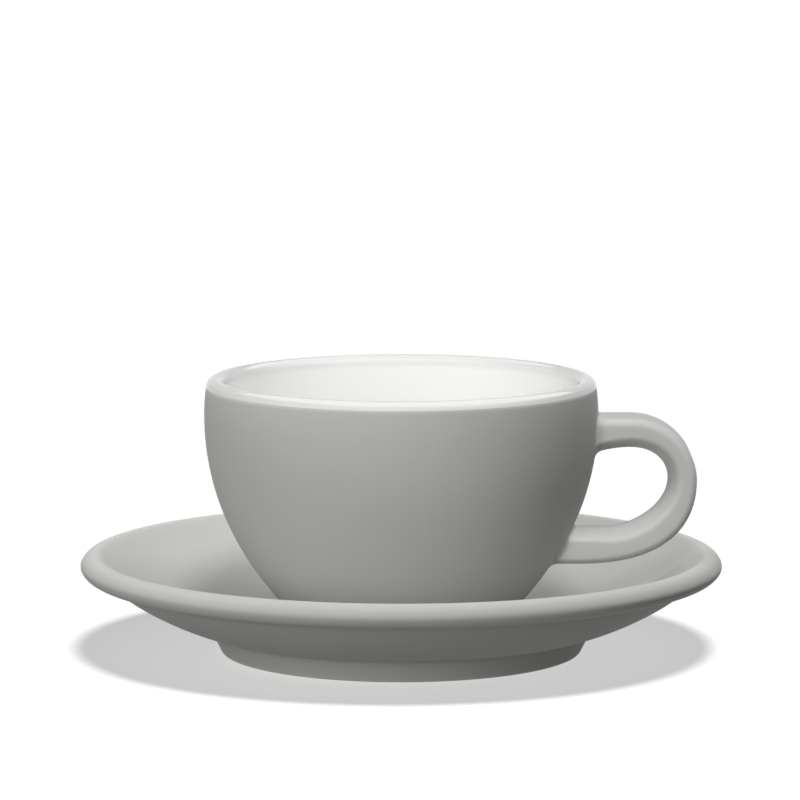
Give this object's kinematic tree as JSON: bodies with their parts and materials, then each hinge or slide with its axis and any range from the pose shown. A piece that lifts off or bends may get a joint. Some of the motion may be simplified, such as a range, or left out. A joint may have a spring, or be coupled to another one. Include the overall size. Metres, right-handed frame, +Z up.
{
  "type": "flat white cup with saucer",
  "caption": "Round-bellied coffee cup with a thick rolled lip, white gloss lining and a flat strap handle, standing in the well of a footed saucer with a rolled lip.",
  "frame": {"origin": "centre of the saucer's foot ring, on the surface that it stands on", "axes": "+Z up along the axis of the bowl and the saucer, +X towards the handle, -Y towards the viewer of the picture"},
  "size_m": [0.145, 0.145, 0.0623],
  "materials": {
    "saucer_glaze": "soft matt grey glaze",
    "cup_glaze": "soft matt grey glaze",
    "handle_glaze": "soft matt grey glaze",
    "liner_glaze": "glossy white glaze"
  },
  "bodies": {
    "saucer": {"saucer": "saucer_glaze"},
    "cup": {"cup_bowl": "cup_glaze", "cup_handle": "handle_glaze", "cup_liner": "liner_glaze"}
  },
  "joints": [
    {"name": "cup_lift", "type": "slide", "parent": "saucer", "child": "cup", "axis": [0, 0, 1], "range_m": [0, 0.08]}
  ]
}
